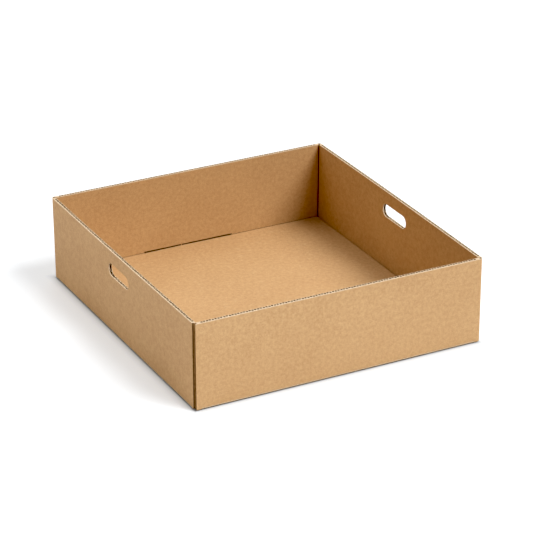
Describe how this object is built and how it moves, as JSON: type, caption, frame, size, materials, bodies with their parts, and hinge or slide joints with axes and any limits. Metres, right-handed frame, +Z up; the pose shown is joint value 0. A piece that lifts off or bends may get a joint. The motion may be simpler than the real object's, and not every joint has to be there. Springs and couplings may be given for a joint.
{
  "type": "cardboard tray box",
  "caption": "Shallow open tray folded and glued from one sheet of corrugated board, with a rounded hand hole in each side wall.",
  "frame": {"origin": "centre of the tray's outline, on the surface it stands on", "axes": "+X from the left wall to the right wall, +Y from the front wall to the rear wall, +Z up"},
  "size_m": [0.413, 0.438, 0.12],
  "materials": {
    "board": "matt brown kraft liner, paler at the cut edges"
  },
  "bodies": {
    "root": {"tray": "board"}
  },
  "joints": []
}
